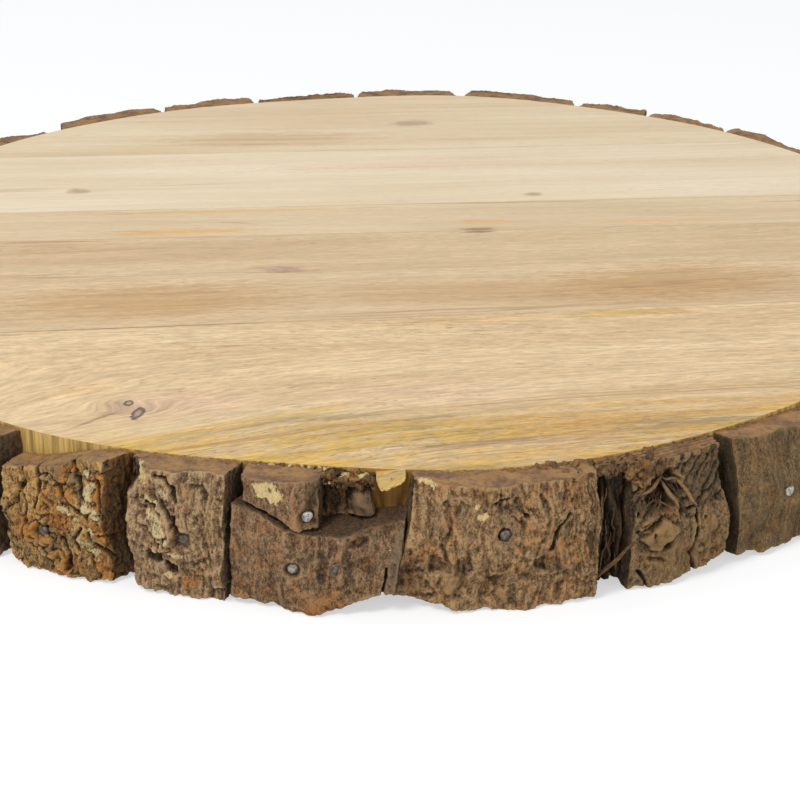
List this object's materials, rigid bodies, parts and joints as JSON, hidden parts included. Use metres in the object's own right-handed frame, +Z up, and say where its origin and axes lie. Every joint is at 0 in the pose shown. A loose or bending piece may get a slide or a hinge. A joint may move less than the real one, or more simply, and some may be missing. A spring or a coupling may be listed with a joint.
{
  "type": "log slice serving board",
  "caption": "Round serving board of edge-glued planks with blocks of bark glued and nailed round the rim, made to look like a slice of a log.",
  "frame": {"origin": "middle of the board's underside", "axes": "+Z up out of the serving face, +X along the grain of the planks, -Y towards the front"},
  "size_m": [0.4165, 0.4242, 0.038],
  "materials": {
    "wood": "lightly oiled pale wood",
    "bark": "rough dry bark",
    "nail": "dull wire nail"
  },
  "bodies": {
    "root": {"back_plank": "wood", "bark_block_01": "bark", "bark_block_02": "bark", "bark_block_03_inner": "bark", "bark_block_03_lower": "bark", "bark_block_03_upper": "bark", "bark_block_04": "bark", "bark_block_05": "bark", "bark_block_06": "bark", "bark_block_07": "bark", "bark_block_08": "bark", "bark_block_09": "bark", "bark_block_10": "bark", "bark_block_11": "bark", "bark_block_12": "bark", "bark_block_13": "bark", "bark_block_14": "bark", "bark_block_15": "bark", "bark_block_16": "bark", "bark_block_17": "bark", "bark_block_18": "bark", "bark_block_19": "bark", "bark_block_20": "bark", "bark_block_21": "bark", "bark_block_22": "bark", "bark_block_23": "bark", "bark_block_24": "bark", "bark_block_25": "bark", "bark_block_26": "bark", "bark_block_27": "bark", "bark_block_28": "bark", "bark_block_29": "bark", "bark_block_30": "bark", "bark_block_31": "bark", "front_plank": "wood", "nail_01": "nail", "nail_02": "nail", "nail_03": "nail", "nail_04": "nail", "nail_05": "nail", "nail_06": "nail", "nail_07": "nail", "nail_08": "nail", "nail_09": "nail", "nail_10": "nail", "nail_11": "nail", "nail_12": "nail", "nail_13": "nail", "nail_14": "nail", "nail_15": "nail", "nail_16": "nail", "nail_17": "nail", "nail_18": "nail", "nail_19": "nail", "nail_20": "nail", "narrow_plank": "wood", "tapered_plank": "wood", "wide_plank": "wood"}
  },
  "joints": []
}
